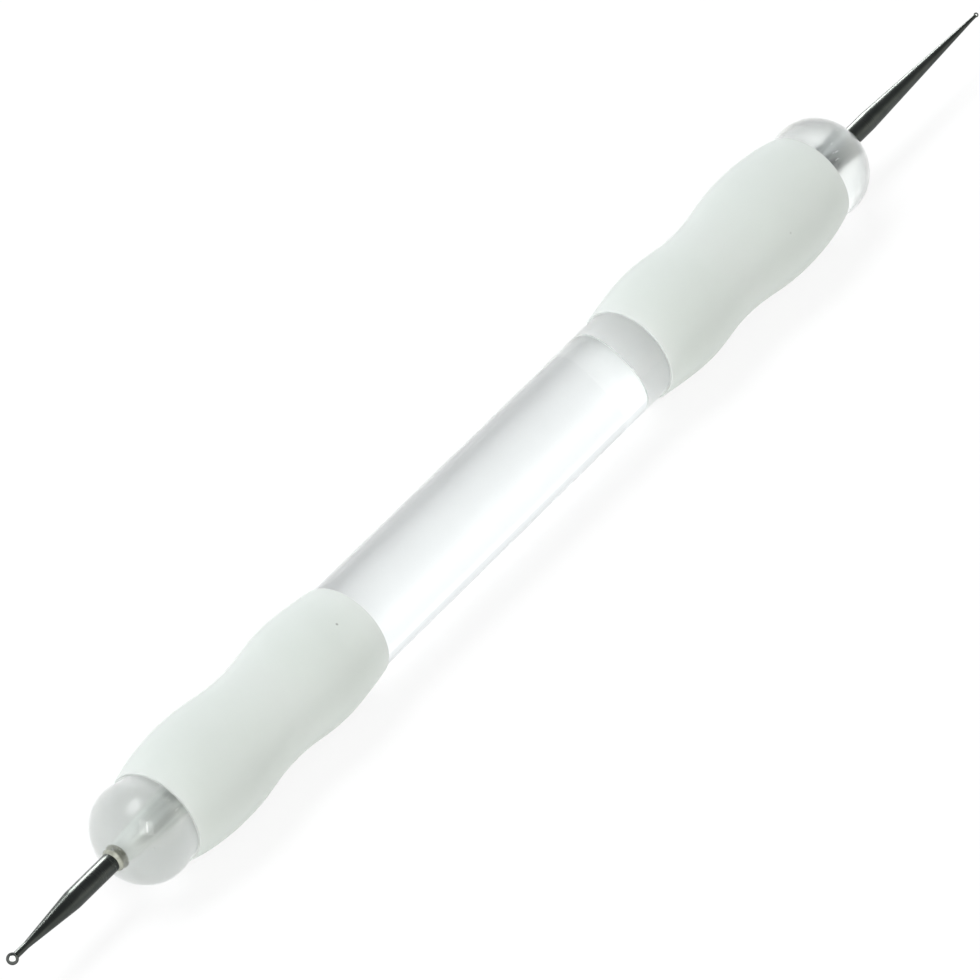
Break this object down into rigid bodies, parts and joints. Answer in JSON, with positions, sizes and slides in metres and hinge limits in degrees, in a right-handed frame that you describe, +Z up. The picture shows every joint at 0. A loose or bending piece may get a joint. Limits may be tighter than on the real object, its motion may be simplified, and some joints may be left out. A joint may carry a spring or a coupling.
{
  "type": "embossing stylus",
  "caption": "Double-ended ball embossing stylus: clear acrylic handle, frosted waisted silicone grips, tapered steel needles with a large ball tip at one end and a fine ball tip at the other.",
  "frame": {"origin": "on the long axis, in the middle of the handle's bare clear length", "axes": "+X runs along the long axis towards the fine ball tip, the large ball tip is at -X, and +Z is up with the stylus lying on a table"},
  "size_m": [0.1589, 0.0122, 0.0122],
  "materials": {
    "clear_acrylic": "clear colourless moulded acrylic, polished",
    "frosted_silicone": "frosted translucent silicone, satin",
    "needle_steel": "ground and polished stainless steel",
    "ball_steel": "mirror-polished hardened steel",
    "cured_glue": "cured beige-grey epoxy"
  },
  "bodies": {
    "root": {"handle": "clear_acrylic", "large_end_grip": "frosted_silicone", "fine_end_grip": "frosted_silicone", "large_shank": "needle_steel", "fine_shank": "needle_steel", "large_ball": "ball_steel", "fine_ball": "ball_steel", "large_end_glue": "cured_glue", "fine_end_glue": "cured_glue"}
  },
  "joints": []
}
